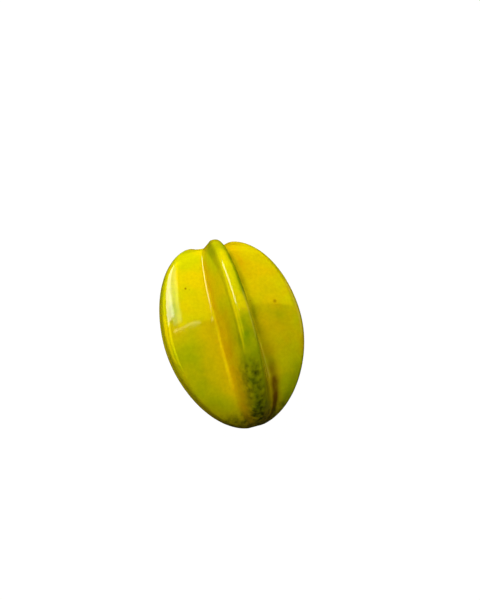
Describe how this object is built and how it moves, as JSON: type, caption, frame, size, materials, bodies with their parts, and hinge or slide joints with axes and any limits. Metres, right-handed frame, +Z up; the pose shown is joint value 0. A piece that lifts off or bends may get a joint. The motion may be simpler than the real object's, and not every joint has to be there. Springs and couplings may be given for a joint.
{
  "type": "star fruit",
  "caption": "Whole ripe star fruit with tall rounded ribs, deep valleys, a sunk stem scar and a narrower blossom end, lying on its lower ribs.",
  "frame": {"origin": "on the surface that the fruit lies on, below the middle of its bounding box", "axes": "+Y along the fruit's long axis towards the stem end, +Z up, +X to the right when looking along +Y"},
  "size_m": [0.0728, 0.0974, 0.0639],
  "materials": {
    "skin": "smooth waxy fruit skin, glossy, ripe yellow with green rib edges"
  },
  "bodies": {
    "root": {"fruit": "skin"}
  },
  "joints": []
}
